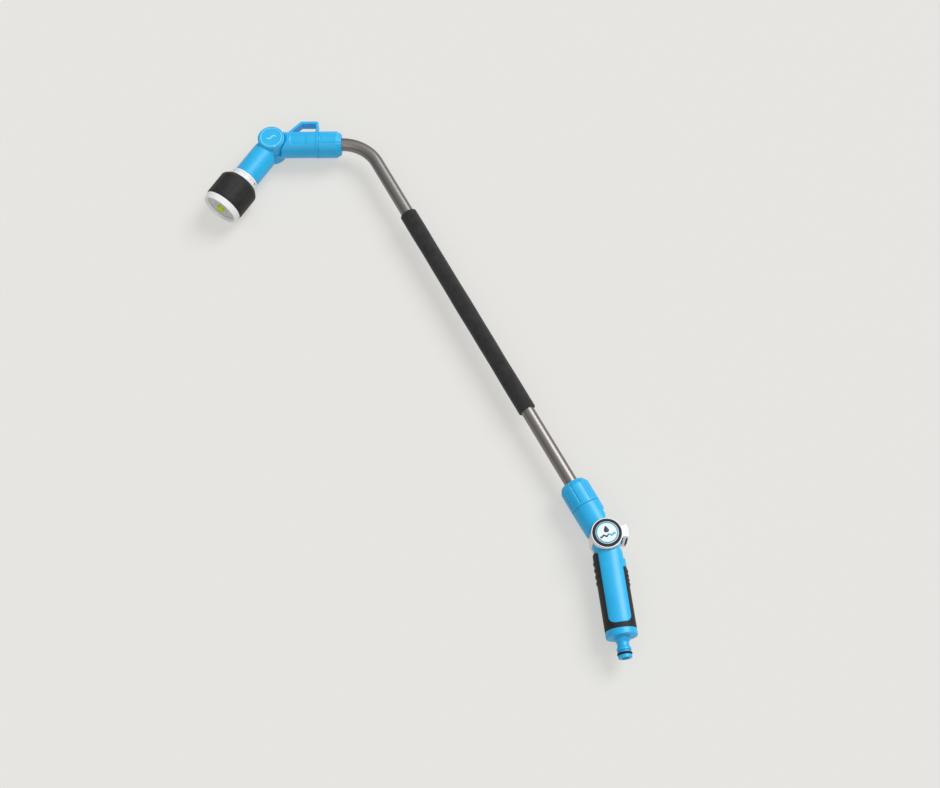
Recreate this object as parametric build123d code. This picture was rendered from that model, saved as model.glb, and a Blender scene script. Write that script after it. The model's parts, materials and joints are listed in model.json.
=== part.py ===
from build123d import *
import os
from math import cos, radians, sin

# Watering wand: a lance with a valve handle at one end and a tilting multi-pattern spray head at the other.
# It lies flat. The straight tube runs along +X, and the handle, bend and head all turn towards +Y.
# Lengths are millimetres and angles are degrees. The valve's axis is the working origin until export.

# ------------------------------------------------------------------ layout
handle_angle = 158.5        # heading of the handle, from the valve to the hose inlet
body_angle = 61.85          # heading of the tube after its bend, and of the head body
neck_angle = 117.8          # heading of the spray neck as the wand lies
lever_angle = 250.0         # heading of the thumb lever as the wand lies
lever_closed = -29.0        # lever travel to the stop beside the handle, valve shut
lever_open = 56.0           # lever travel to the stop beside the tube, valve open
neck_straight_limit = 80.0  # the neck tilts this far to either side of the body's line
bend_x = 588.0              # where the tube's two straight lines would cross
bend_radius = 50.0
pivot_from_bend = 116.6
tube_line = 0.7             # the tube's line passes this far to the left of the valve's axis
neck_lead = 0.8             # the neck's heights are measured from this far in front of the head pivot

# ------------------------------------------------------------------ general clearances
running_gap = 0.05          # radial clearance of a shaft in its bore
face_gap = 0.15             # between faces that slide past each other
lap_half_gap = 0.15         # half the gap between the two halves of the head's lap joint
fit_gap = 0.05              # left between parts that are pressed or screwed together

# ------------------------------------------------------------------ tube and foam sleeve
tube_radius = 8.0
tube_wall = 1.0
tube_start = 36.0           # the tube's lower end, inside the handle
tube_end = 40.0             # the tube's upper end, from the head pivot
foam_start = 178.5
foam_end = 475.5
foam_radius = 10.5

# ------------------------------------------------------------------ clamp nuts, shared layout
socket_radius = 8.05
thread_radius = 13.5
nut_bore = 13.7
nut_mouth = 8.4
o_ring_seat = 10.25
tube_ring_section = 1.1
lower_seam = 43.2           # handle collar to lower nut, from the valve
lower_nut_end = 74.5
lower_nut_radius = 17.5
upper_seam = 57.9           # head band to upper nut, from the pivot
upper_nut_end = 86.4
upper_nut_radius = 16.5
nut_groove_count = 8

# ------------------------------------------------------------------ valve
ball_radius = 8.6
ball_port = 4.3
chamber_radius = 9.0
seat_outer = 8.95
seat_reach = 9.5
stem_radius = 4.0
block_radius = 17.0
block_half = 11.2
boss_radius = 8.0
boss_half = 16.0
lever_disc_radius = 17.75
lever_disc_inner = 11.4
lever_face = 20.6
lever_room_radius = 18.1
bridge_inner = 19.0
bridge_outer = 22.1
bridge_half_angle = 19.0
bridge_half_height = 19.0
lip_outer = 24.4            # lips above and below the thumb pad
pad_half_height = 13.2
pad_outer = 24.5
band_inner = 16.0           # trim band in the hollow between the collar and the grip
band_outer = 18.4
band_angles = (56.0, 92.0)
badge_radius = 13.2
trim_outer = 16.4

# ------------------------------------------------------------------ handle
grip_half_width = 18.0
grip_half_thickness = 15.75
overmould = 1.8
grip_end = 107.6
panel_half_width = 12.8
panel_end = 101.6
left_rubber_start = 18.0
right_rubber_start = 37.4
strip_reach = 3.2            # radius of the strips' round upper ends
right_bulge_start = 27.0
ridge_height = 0.8
ridge_length = 2.6
left_ridges = [28.6 + 7.6 * i for i in range(4)]
right_ridges = [42.0 + 5.0 * i for i in range(4)]
inlet_bore = 10.5
inlet_shoulder = 94.0

# ------------------------------------------------------------------ hose spigot, standard quick-connect size
flange_start = 107.8
flange_end = 115.7
flange_radius = 18.0
spigot_tip = 139.2
spigot_bore = 4.6
spigot_radius = 7.9
spigot_land_start = 135.6
spigot_land_end = 138.6
spigot_groove_radius = 5.78

# ------------------------------------------------------------------ head body and lap joint
body_radius = 16.25
body_end = 55.0
band_radius = 16.8
body_hub_radius = 16.9       # lower half of the lap joint
neck_hub_radius = 16.6       # upper half of the lap joint
hub_half = 17.5
hub_edge = 0.9
upper_lap = 17.1             # hollow face of the body round the neck's hub
horn_start = 12.0            # that face's ends, from the pivot along the body
body_step = (18.6, 14.9)     # radius and height of the step round the hub
lower_lap = 18.2             # flat face of the neck beside the body's hub
gallery_radius = 11.4
gallery_low = -12.3
gallery_high = -2.5
passage_radius = 4.5
passage_height = 7.4
pivot_radius = 9.0
pivot_bore = 5.2
cap_radius = 15.5
cap_top = 18.9
rear_cap_radius = 16.3
cap_plug = 12.0
loop_height = 30.3
loop_strap = 3.5
loop_half_width = 6.4
loop_foot = 16.4
loop_knee = 35.0
loop_end = 57.2

# ------------------------------------------------------------------ neck and dial
neck_radius = 16.6
neck_line = 37.0             # moulded line across the neck, from the pivot
relief_start = 9.0           # the neck's sides are cut away beside its hub from here
relief_half_width = 10.5
relief_angle = 29.6
neck_end = 54.6
collar_end = 63.4
neck_spigot = 12.6
neck_face = 70.0
port_offset = 7.0
port_count = 8
port_radius = 2.2
dial_start = 64.2
dial_radius = 25.5
dial_core = 22.6
dial_wall_end = 75.0
chamber_wall = 20.3
bezel_start = 101.4
bezel_end = 109.2
plate_back = 102.8
plate_face = 105.8
flute_count = 12


def heading(angle):
    return Vector(cos(radians(angle)), sin(radians(angle)), 0)


def along(origin, angle):
    """Frame with local Z along a heading, local X up, and local Y to the right of the heading."""
    return Plane(origin=origin, x_dir=(0, 0, 1), z_dir=heading(angle))


def flat(origin, angle):
    """Frame with local X along a heading, local Y to its left, and local Z up."""
    return Plane(origin=origin, x_dir=heading(angle), z_dir=(0, 0, 1))


bend_corner = Vector(bend_x, tube_line, 0)
pivot = bend_corner + heading(body_angle) * pivot_from_bend
tube_axis = along((0, tube_line, 0), 0)
handle_axis = along((0, 0, 0), handle_angle)
handle_flat = flat((0, 0, 0), handle_angle)
lever_flat = flat((0, 0, 0), lever_angle)
body_axis = along(pivot, body_angle + 180)
body_flat = flat(pivot, body_angle + 180)
neck_axis = along(pivot + heading(neck_angle) * neck_lead, neck_angle)
neck_flat = flat(pivot, neck_angle)


def turned(*corners):
    """Solid of revolution about local Z. A corner is (radius, height), or (radius, height, fillet)."""
    points = [(corner[0], corner[1]) for corner in corners]
    fillets = [corner[2] if len(corner) > 2 else 0 for corner in corners]
    outline = FilletPolyline(*points, radius=fillets, close=True)
    return revolve(Plane.XZ * make_face(outline), Axis.Z)


def rod(radius, low, high, x=0.0, y=0.0):
    """Cylinder along local Z, from low to high, with its axis at x, y."""
    return Pos(x, y, (low + high) / 2) * Cylinder(radius, high - low)


def block(x_low, x_high, y_low, y_high, z_low, z_high):
    centre = ((x_low + x_high) / 2, (y_low + y_high) / 2, (z_low + z_high) / 2)
    return Pos(*centre) * Box(x_high - x_low, y_high - y_low, z_high - z_low)


def ring(mean_radius, section, height):
    """O-ring about local Z."""
    return Pos(0, 0, height) * Torus(mean_radius, section)


def sector(inner, outer, from_angle, to_angle, low, high):
    """Part of a round wall about local Z, between two angles from local X."""
    sweep_angle = to_angle - from_angle
    half_section = Plane.XZ * (Pos((inner + outer) / 2, (low + high) / 2) * Rectangle(outer - inner, high - low))
    return Rot(0, 0, from_angle) * revolve(half_section, Axis.Z, sweep_angle)


def around(count, shape, start=0.0):
    """Copies of a shape turned about local Z."""
    return [Rot(0, 0, start + 360.0 * i / count) * shape for i in range(count)]


def coil(mean_radius, wire, low, high, turns):
    """Round-wire compression spring about local Z."""
    height = high - low - 2 * wire
    path = Helix(pitch=height / turns, height=height, radius=mean_radius)
    section = Plane(origin=path @ 0, z_dir=path % 0) * Circle(wire)
    return Pos(0, 0, low + wire) * sweep(section, path, is_frenet=True)


# ------------------------------------------------------------------ tube, foam and clamp nuts
def lance_tube():
    start = Vector(tube_start, tube_line, 0)
    end = pivot - heading(body_angle) * tube_end
    path = FilletPolyline(start, bend_corner, end, radius=bend_radius)
    section = Circle(tube_radius) - Circle(tube_radius - tube_wall)
    return sweep(Plane(origin=start, z_dir=(1, 0, 0)) * section, path)


def foam_grip():
    return tube_axis * turned(
        (tube_radius, foam_start),
        (foam_radius, foam_start, 1.5),
        (foam_radius, foam_end, 1.5),
        (tube_radius, foam_end),
    )


def clamp_nut(seam, end, radius):
    """Nut along local Z: threaded skirt, inner cone that closes the clamp ring, and a chamfered mouth."""
    cone_start = end - 15.8
    cone_end = end - 8.8
    nut = turned(
        (nut_bore, seam),
        (radius, seam, 0.5),
        (radius, end - 6.0, 1.2),
        (radius - 3.6, end, 0.9),
        (nut_mouth, end),
        (nut_mouth, cone_end),
        (nut_bore, cone_start),
    )
    return nut


def nut_grooves(seam, end, radius, depth, width):
    """Cutters for the finger grooves of a nut, open at its chamfer."""
    groove = block(radius - depth, radius + 2, -width / 2, width / 2, seam + 2.2, end + 1)
    return around(nut_groove_count, groove, start=22.5)


def clamp_ring(end):
    """Split cone that the nut squeezes on the tube."""
    low = end - 16.4
    cone = turned(
        (tube_radius + 0.02, low),
        (13.2, low, 0.3),
        (13.2, low + 0.6),
        (8.9, low + 6.6),
        (tube_radius + 0.02, low + 6.6),
    )
    return cone - block(0, 20, -1, 1, low - 1, low + 8)


def tube_seal(end):
    """O-ring on the tube, in the mouth of the socket."""
    return ring(tube_radius + tube_ring_section, tube_ring_section, end - 18.1)


def lower_nut():
    nut = clamp_nut(lower_seam + 0.1, lower_nut_end, lower_nut_radius)
    return tube_axis * (nut - nut_grooves(lower_seam, lower_nut_end, lower_nut_radius, 0.9, 2.2))


def upper_nut():
    nut = clamp_nut(upper_seam + 0.1, upper_nut_end, upper_nut_radius)
    nut -= nut_grooves(upper_seam, upper_nut_end, upper_nut_radius, 0.5, 2.0)
    pip_height = upper_seam + 2.6
    index_pip = Pos(upper_nut_radius - 0.3, 0, pip_height) * (Rot(0, 90, 0) * Cylinder(0.9, 1.4))
    return body_axis * (nut + index_pip)


# ------------------------------------------------------------------ handle
def grip_section(inset, low, high):
    section = Ellipse(grip_half_thickness - inset, grip_half_width - inset)
    return Pos(0, 0, low) * extrude(section, high - low)


def panel_prism():
    """Upright prism of the smooth face panel, with a rounded lower end."""
    length = panel_end + 12
    outline = RectangleRounded(length, 2 * panel_half_width, 7.5)
    return handle_flat * (Pos(panel_end - length / 2, 0, 0) * extrude(outline, 25, both=True))


def socket_cuts(end, floor):
    """Tube socket and O-ring seat in a threaded boss whose mouth lies behind the nut's end."""
    mouth = end - 16.6
    return [rod(socket_radius, floor, mouth + 1), rod(o_ring_seat, mouth - 2.8, mouth + 1)]


def handle_core():
    valve_block = Cylinder(block_radius, 2 * block_half)
    collar = tube_axis * turned(
        (0, 0),
        (16.6, 0),
        (lower_nut_radius - 0.2, 20),
        (lower_nut_radius, lower_seam, 0.5),
        (0, lower_seam),
    )
    threaded_boss = tube_axis * rod(thread_radius, lower_seam - 1, lower_nut_end - 16.6)
    barrel = handle_axis * grip_section(overmould, 0, grip_end)
    panels = (handle_axis * grip_section(0, 0, panel_end)) & panel_prism()
    bulge = handle_axis * grip_section(0, right_bulge_start, right_rubber_start)
    bulge &= handle_flat * block(0, right_rubber_start, 0, 30, -30, 30)
    core = valve_block + collar + threaded_boss + barrel + panels + bulge

    for side in (-1, 1):
        low, high = sorted((side * block_half, side * 40))
        core -= rod(lever_room_radius, low, high)
    core += Cylinder(boss_radius, 2 * boss_half)
    sweep_start = lever_angle + lever_closed - bridge_half_angle - 3
    sweep_stop = lever_angle + lever_open + bridge_half_angle + 8
    core -= sector(lever_room_radius, pad_outer + 0.6, sweep_start, sweep_stop, -40, 40)
    notch = Polyline((0, -12), (28.4, -12), (32.7, -17.2), (32.7, -30), (0, -30), close=True)
    core -= extrude(make_face(notch), 40, both=True) - Cylinder(lever_room_radius, 80)

    core -= sector(band_inner - fit_gap, 30, band_angles[0] - 0.2, band_angles[1] + 0.2, -block_half, block_half)
    core -= handle_axis * rod(chamber_radius, -seat_reach, inlet_shoulder + 1)
    core -= handle_axis * rod(inlet_bore, inlet_shoulder, grip_end + 1)
    core -= handle_axis * rod(4.5, -17, 0)
    core -= tube_axis * rod(6.5, 12, 35)
    for cutter in socket_cuts(lower_nut_end, tube_start - 2):
        core -= tube_axis * cutter
    core -= rod(stem_radius + running_gap, 0, boss_half + 1)
    core -= rod(1.6, -boss_half - 1, -11.6)
    return core


def valve_band():
    half = block_half - fit_gap
    return sector(band_inner, band_outer, *band_angles, -half, half)


def overmould_outline():
    """Upright prism that rounds the upper ends of the two side strips, and takes in the whole lower end."""
    outline = block(60, grip_end + 10, -30, 30, -30, 30)
    for side, start in ((-1, left_rubber_start), (1, right_rubber_start)):
        strip = extrude(RectangleRounded(2 * (grip_end - start), 2 * strip_reach, strip_reach * 0.96), 30, both=True)
        outline += Pos(grip_end, side * (panel_half_width + strip_reach), 0) * strip
    return outline


def grip_overmould():
    shell = handle_axis * (grip_section(0, left_rubber_start, grip_end) - grip_section(overmould, 0, grip_end + 1))
    shell &= handle_flat * overmould_outline()
    for position in left_ridges + right_ridges:
        low, high = position - ridge_length / 2, position + ridge_length / 2
        ridge = handle_axis * (grip_section(-ridge_height, low, high) - grip_section(overmould / 2, low, high))
        on_left = position in left_ridges
        side = block(0, 120, -30, -panel_half_width, -9, 9) if on_left else block(0, 120, panel_half_width, 30, -9, 9)
        shell += ridge & (handle_flat * side)
    return shell - panel_prism()


def inlet_spigot():
    return handle_axis * turned(
        (spigot_bore, inlet_shoulder + 2),
        (inlet_bore - 0.1, inlet_shoulder + 2),
        (inlet_bore - 0.1, flange_start),
        (flange_radius, flange_start, 0.8),
        (flange_radius, flange_end, 1.6),
        (9.5, flange_end, 0.6),
        (9.3, flange_end + 2.6, 0.9),
        (6.8, flange_end + 5.8, 1.0),
        (6.8, flange_end + 10.6, 1.0),
        (8.2, flange_end + 12.1, 0.4),
        (8.2, flange_end + 14.7, 0.4),
        (6.9, flange_end + 15.2),
        (6.9, flange_end + 15.8),
        (spigot_radius, flange_end + 15.8),
        (spigot_radius, flange_end + 17.1),
        (spigot_groove_radius, flange_end + 17.1),
        (spigot_groove_radius, spigot_land_start),
        (spigot_radius, spigot_land_start),
        (spigot_radius, spigot_land_end),
        (spigot_radius - 0.6, spigot_tip),
        (spigot_bore, spigot_tip),
    )


def spigot_o_ring():
    return handle_axis * ring(7.2, 1.4, spigot_land_start - 1.4)


def inlet_seal():
    return handle_axis * turned((5, inlet_shoulder), (10.4, inlet_shoulder), (10.4, 96), (5, 96))


def inlet_filter():
    return handle_axis * turned(
        (0, 73.6), (2.2, 73.6), (7.4, 92.4), (8.9, 92.4), (8.9, 94), (6.4, 94), (1.4, 75), (0, 75)
    )


# ------------------------------------------------------------------ valve and thumb lever
def valve_ball():
    """Ball whose port lines up with the handle when the lever reaches its open stop."""
    port_heading = handle_angle + 180 - lever_open
    ball = Sphere(ball_radius)
    ball -= along((0, 0, 0), port_heading) * Cylinder(ball_port, 30)
    drive_slot = block(-10, 10, -1.5, 1.5, 6.4, 10)
    return ball - Rot(0, 0, port_heading) * drive_slot


def valve_seat(side):
    seat = turned((4.6, 5.4), (seat_outer, 5.4), (seat_outer, seat_reach), (4.6, seat_reach))
    if side < 0:
        seat = mirror(seat, Plane.XY)
    return handle_axis * (seat - Sphere(ball_radius + running_gap))


def seat_retainer():
    sleeve = turned((5.2, seat_reach), (seat_outer, seat_reach), (seat_outer, 17), (6.6, 17), (5.2, 14))
    return handle_axis * (sleeve - block(-10, 10, -1.2, 1.2, 15, 18))


def valve_stem():
    port_heading = handle_angle + 180 - lever_open
    stem = rod(stem_radius, ball_radius + 0.1, 17)
    stem += Rot(0, 0, port_heading) * block(-3.4, 3.4, -1.45, 1.45, 6.5, ball_radius + 0.2)
    stem += Rot(0, 0, lever_angle) * (Pos(0, 0, 17) * extrude(RegularPolygon(6.4, 6), 1.7))
    groove = rod(stem_radius + 1, 12.6, 14.4) - rod(2.6, 12.6, 14.4)
    return stem - groove


def stem_o_ring():
    return ring(3.33, 0.7, 13.5)


def lever_saddle():
    """Two side discs over the valve, joined by a bridge past the thumb side of the handle."""
    top = turned(
        (0, lever_disc_inner),
        (lever_disc_radius, lever_disc_inner, 0.5),
        (lever_disc_radius, lever_face, 0.5),
        (trim_outer + 0.05, lever_face),
        (trim_outer + 0.05, 18.8),
        (0, 18.8),
    )
    top -= rod(boss_radius + 0.1, lever_disc_inner - 1, boss_half + 0.2)
    top -= rod(stem_radius, 0, 20)
    top -= Pos(0, 0, 17) * extrude(RegularPolygon(6.4, 6), 3)
    bottom = turned(
        (0, -lever_disc_inner),
        (lever_disc_radius, -lever_disc_inner, 0.5),
        (lever_disc_radius, -lever_face, 1.0),
        (0, -lever_face),
    )
    bottom -= rod(boss_radius + 0.1, -boss_half - 0.2, 0)
    bottom -= rod(1.7, -30, 0)
    bottom -= rod(4.2, -30, -18.2)
    bottom -= rod(12.1, -30, -19.9)
    half = bridge_half_angle
    bridge = sector(bridge_inner, bridge_outer, -half, half, -bridge_half_height, bridge_half_height)
    arms = sector(17.0, bridge_inner + 0.5, -half, half, 11.8, bridge_half_height)
    arms += sector(17.0, bridge_inner + 0.5, -half, half, -bridge_half_height, -11.8)
    lips = sector(bridge_outer - 0.5, lip_outer, -half, half, pad_half_height, bridge_half_height)
    lips += sector(bridge_outer - 0.5, lip_outer, -half, half, -bridge_half_height, -pad_half_height)
    return lever_flat * (top + bottom + bridge + arms + lips)


def lever_trim_ring():
    return turned(
        (badge_radius + 0.05, 18.8), (trim_outer, 18.8), (trim_outer, 21.2, 0.5), (badge_radius + 0.05, 21.2, 0.5)
    )


def lever_badge():
    return turned((0, 18.8), (badge_radius, 18.8), (badge_radius, 21.6, 0.4), (0, 21.8))


def thumb_pad():
    """Ribbed rubber pad between the lips of the lever's bridge."""
    half = bridge_half_angle
    high = pad_half_height - fit_gap
    pad = sector(bridge_outer, pad_outer - 0.7, -half, half, -high, high)
    for angle in range(-15, 16, 5):
        pad += sector(pad_outer - 1.0, pad_outer, angle - 1.3, angle + 1.3, 0.8 - high, high - 0.8)
    return lever_flat * pad


def lever_rear_screw():
    screw = rod(1.6, -18.3, -11.7) + turned((0, -18.25), (3.6, -18.25), (3.6, -19.6, 0.6), (0, -19.6))
    return screw - block(-2.2, 2.2, -0.4, 0.4, -20, -18.9) - block(-0.4, 0.4, -2.2, 2.2, -20, -18.9)


def lever_rear_cap():
    return turned((0, -19.95), (12.0, -19.95), (12.0, -21.4, 0.7), (0, -21.4))


# ------------------------------------------------------------------ head body, lap joint and pivot
def at_pivot(shape):
    """Place a shape that was drawn about the world's Z axis on the head pivot."""
    return Pos(pivot.X, pivot.Y, 0) * shape


def head_body():
    """Body with the lower half of the lap joint, the hanging loop and the band that the loop ends on."""
    body = rod(body_radius, 0, body_end)
    body += turned(
        (0, body_end - 1), (band_radius, body_end, 0.4), (band_radius, upper_seam, 0.4), (0, upper_seam)
    )
    body += rod(thread_radius, upper_seam - 1, upper_nut_end - 16.6)
    body = body_axis * body
    loop = Polyline(
        (loop_foot, 12),
        (loop_knee, loop_height),
        (loop_end, loop_height),
        (loop_end, 12),
        (loop_end - loop_strap, 12),
        (loop_end - loop_strap, loop_height - loop_strap),
        (loop_knee + 1.2, loop_height - loop_strap),
        (loop_foot + 4.5, 12),
        close=True,
    )
    strap = extrude(make_face(loop), loop_half_width, both=True)
    outer_corner = strap.edges().filter_by(Axis.Z).sort_by(SortBy.DISTANCE)[-1]
    body += body_flat * fillet(outer_corner, 2.8)
    recess_outline = body_flat * (Pos(33, 0, 0) * extrude(RectangleRounded(20, 16, 3), 30))
    recess_skin = body_axis * (rod(body_radius + 3, 20, 46) - rod(body_radius - 0.45, 19, 47))
    body -= recess_outline & recess_skin
    body -= body_flat * block(-30, horn_start, -30, 30, -lap_half_gap, 30)
    body -= at_pivot(rod(upper_lap, -lap_half_gap, 30))
    body -= at_pivot(rod(body_step[0], body_step[1], 30))
    body += at_pivot(turned(
        (0, -lap_half_gap),
        (body_hub_radius, -lap_half_gap),
        (body_hub_radius, -hub_half, hub_edge),
        (0, -hub_half),
    ))
    for cutter in socket_cuts(upper_nut_end, tube_end - 2):
        body -= body_axis * cutter
    body -= body_axis * rod(passage_radius, 0, tube_end + 2, x=-passage_height)
    body -= at_pivot(rod(pivot_radius + running_gap, -hub_half - 1, 1))
    body -= at_pivot(rod(gallery_radius, gallery_low, gallery_high))
    body -= at_pivot(rod(cap_plug, -hub_half - 1, -15.3))
    return body


def neck():
    """Neck with the upper half of the lap joint, and a spigot that the spray dial turns on."""
    shape = neck_axis * turned((0, 0), (neck_radius, 0), (neck_radius, neck_end, 0.4), (0, neck_end))
    moulded_line = at_pivot(rod(neck_line, -30, 30) - rod(neck_line - 0.7, -31, 31))
    shape -= moulded_line & (neck_axis * (rod(20, 20, 50) - rod(neck_radius - 0.35, 19, 51)))
    shape += neck_axis * rod(neck_spigot, neck_end - 1, neck_face)
    shape -= neck_flat * block(-30, lower_lap, -30, 30, -30, 0)
    for side in (-1, 1):
        corner = Pos(relief_start, side * relief_half_width, 0) * Rot(0, 0, side * relief_angle)
        low, high = sorted((0, side * 30))
        shape -= neck_flat * (corner * block(-30, 30, low, high, -30, 30))
    shape += at_pivot(turned((0, 0), (neck_hub_radius, 0), (neck_hub_radius, hub_half, hub_edge), (0, hub_half)))
    shape -= neck_flat * block(-30, lower_lap, -30, 30, -1, lap_half_gap)
    shape -= at_pivot(rod(pivot_radius, -1, hub_half + 1))
    shape -= at_pivot(rod(cap_plug, 14, hub_half + 1))
    shape -= neck_axis * rod(passage_radius, 0, 61, x=port_offset)
    shape -= neck_axis * rod(4.0, 60, neck_face + 1, x=port_offset)
    shape -= neck_axis * rod(2.7, 62, neck_face + 1, x=-port_offset)
    shape -= neck_axis * rod(1.9, 58, neck_face + 1)
    shape -= neck_axis * (rod(neck_spigot + 1, 66.4, 68.4) - rod(11.1, 66.4, 68.4))
    return shape


def pivot_spigot():
    """Hollow pin that carries the water from the body's gallery up into the neck."""
    pin = turned((0, -15.35), (pivot_radius, -15.35, 0.3), (pivot_radius, 14), (11.9, 14), (11.9, 15.5), (0, 15.5))
    pin -= rod(pivot_bore, -12.2, 12.2)
    for height in (-1.45, -13.7):
        pin -= rod(pivot_radius + 1, height - 1, height + 1) - rod(7.3, height - 1, height + 1)
    for turn in (0, 90):
        pin -= Pos(0, 0, -passage_height) * (Rot(0, 0, neck_angle + turn) * (Rot(0, 90, 0) * Cylinder(4.0, 30)))
    outlet = Plane(origin=(0, 0, passage_height), z_dir=heading(neck_angle)) * rod(4.2, 0, 15)
    return at_pivot(pin - outlet - rod(1.6, -16, -12))


def pivot_o_rings():
    return Compound([at_pivot(ring(8.15, 0.8, height)) for height in (-1.45, -13.7)])


def pivot_washer():
    return at_pivot(turned((1.9, -15.36), (11.6, -15.36), (11.6, -16.5, 0.3), (1.9, -16.5)))


def pivot_screw():
    screw = rod(1.6, -17, -12.5) + turned((0, -16.5), (3.8, -16.5), (3.8, -18.6, 0.8), (0, -18.6))
    slots = block(-2.4, 2.4, -0.4, 0.4, -19, -17.6) + block(-0.4, 0.4, -2.4, 2.4, -19, -17.6)
    return at_pivot(screw - slots)


def pivot_cap():
    """Top cap with a raised ring, a plug rim below, and an index pip."""
    cap = turned(
        (0, hub_half),
        (cap_radius, hub_half),
        (cap_radius, cap_top, 0.7),
        (13.2, cap_top),
        (13.2, cap_top + 0.5, 0.2),
        (12.3, cap_top + 0.5, 0.2),
        (12.3, cap_top - 0.2),
        (0, cap_top - 0.2),
    )
    cap += turned((10.4, 15.6), (cap_plug - 0.05, 15.6), (cap_plug - 0.05, hub_half + 0.5), (10.4, hub_half + 0.5))
    pip = Rot(0, 0, 171) * rod(0.8, cap_top - 0.4, cap_top + 0.7, x=14.2)
    return at_pivot(cap + pip)


def pivot_rear_cap():
    cap = turned((0, -hub_half), (rear_cap_radius, -hub_half), (rear_cap_radius, -19.6, 1.0), (0, -19.6))
    cap -= rod(5.0, -18.8, -hub_half + 1)
    cap += turned((10.8, -16.8), (cap_plug - 0.05, -16.8), (cap_plug - 0.05, -hub_half - 0.5), (10.8, -hub_half - 0.5))
    return at_pivot(cap)


# ------------------------------------------------------------------ spray dial
def index_collar():
    """Collar with a rim at each end and index notches in the band between them."""
    collar = turned(
        (neck_spigot, neck_end),
        (16.5, neck_end, 0.3),
        (17.6, neck_end + 1.5, 0.4),
        (17.6, neck_end + 2.5),
        (17.2, neck_end + 2.9),
        (17.2, collar_end - 2.2),
        (17.6, collar_end - 1.8),
        (17.5, collar_end, 0.3),
        (neck_spigot, collar_end),
    )
    mark = block(17.0, 18.2, -0.4, 0.4, neck_end + 3.2, collar_end - 2.4)
    collar -= around(port_count, mark)
    return neck_axis * collar


def port_spring():
    return neck_axis * (Pos(port_offset, 0, 0) * coil(3.2, 0.4, 61.2, 66.8, 3.5))


def port_seal():
    seal = turned((2.7, 66.9), (3.9, 66.9), (3.9, neck_face + 0.08, 0.3), (2.7, neck_face + 0.08))
    return neck_axis * (Pos(port_offset, 0, 0) * seal)


def detent_spring():
    return neck_axis * (Pos(-port_offset, 0, 0) * coil(1.9, 0.35, 62.1, 65.0, 3))


def detent_ball():
    return neck_axis * (Pos(-port_offset, 0, neck_face - 2.45) * Sphere(2.5))


def dial_o_ring():
    return neck_axis * ring(11.85, 0.75, 67.4)


def dial_body():
    """Turning cup: a rear skirt on the neck spigot, a selector wall with ports, and a centre hub."""
    cup = turned(
        (neck_spigot + running_gap, dial_start + 0.4),
        (18.8, dial_start + 0.4, 0.8),
        (dial_core, 68.0, 1.5),
        (dial_core, bezel_start),
        (21.2, bezel_start),
        (21.2, plate_face - 1),
        (chamber_wall, plate_face - 1),
        (chamber_wall, dial_wall_end),
        (4.6, dial_wall_end),
        (4.6, 86),
        (1.9 + running_gap, 86),
        (1.9 + running_gap, neck_face + face_gap),
        (neck_spigot + running_gap, neck_face + face_gap),
    )
    port = rod(port_radius, neck_face, dial_wall_end + 1, x=port_offset)
    return neck_axis * (cup - around(port_count, port))


def flow_divider():
    """Hub and webs that split the dial's chamber into one sector for each spray pattern."""
    low, high = dial_wall_end + 0.05, plate_back - 0.05
    divider = rod(6.2, low, high) - rod(4.75, low - 1, high - 12)
    web = block(5.8, chamber_wall - 0.1, -0.6, 0.6, low, high)
    for copy in around(port_count, web, start=22.5):
        divider += copy
    divider -= rod(3.6, low - 1, high + 1)
    return neck_axis * (divider - rod(5.25, 96.9, high + 1))


def centre_screw():
    screw = rod(1.9, 58.5, 86.3) + turned((0, 86.1), (3.4, 86.1), (3.4, 88.8, 0.6), (0, 88.8))
    slots = block(-2.2, 2.2, -0.4, 0.4, 87.8, 89) + block(-0.4, 0.4, -2.2, 2.2, 87.8, 89)
    return neck_axis * (screw - slots)


def dial_grip():
    """Rubber sleeve with a round rear shoulder and finger flutes."""
    sleeve = turned(
        (18.8, dial_start),
        (20.6, dial_start, 1.0),
        (dial_radius, 69.8, 4.0),
        (dial_radius, 98.0, 6.0),
        (24.9, bezel_start, 0.3),
        (dial_core, bezel_start),
        (dial_core, 68.0),
        (18.8, dial_start + 0.4),
    )
    flute = rod(1.6, 75, 96, x=26.6) + Pos(26.6, 0, 75) * Sphere(1.6) + Pos(26.6, 0, 96) * Sphere(1.6)
    return neck_axis * (sleeve - around(flute_count, flute, start=180.0 / flute_count))


def dial_bezel():
    return neck_axis * turned(
        (21.25, bezel_start + fit_gap),
        (24.8, bezel_start + fit_gap, 0.5),
        (23.0, bezel_end, 0.9),
        (21.7, bezel_end, 0.5),
        (19.4, plate_face + fit_gap),
        (21.0, plate_face + fit_gap),
        (21.25, plate_face - 0.4),
    )


def face_plate():
    """Front plate: an outer ring of shower holes, an inner ring, and windows between them."""
    rim = chamber_wall - 0.1
    plate = turned((5.2, plate_back), (rim, plate_back), (rim, plate_face), (5.2, plate_face))
    for radius, count in ((17.2, 24), (14.4, 20)):
        hole = rod(0.6, plate_back - 1, plate_face + 1, x=radius)
        plate -= around(count, hole)
    window = sector(8.4, 10.0, -8, 8, plate_back - 1, plate_face + 1)
    plate -= around(port_count, window)
    return neck_axis * plate


def centre_nozzle():
    nozzle = turned(
        (1.2, 97), (5.15, 97, 0.4), (5.15, 108.0, 0.5), (4.4, 109.8, 0.6), (2.6, 109.8, 0.3), (1.2, 107.5)
    )
    slot = block(-0.8, 0.8, -6, 6, 108.2, 110.5)
    return neck_axis * (nozzle - slot)


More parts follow.
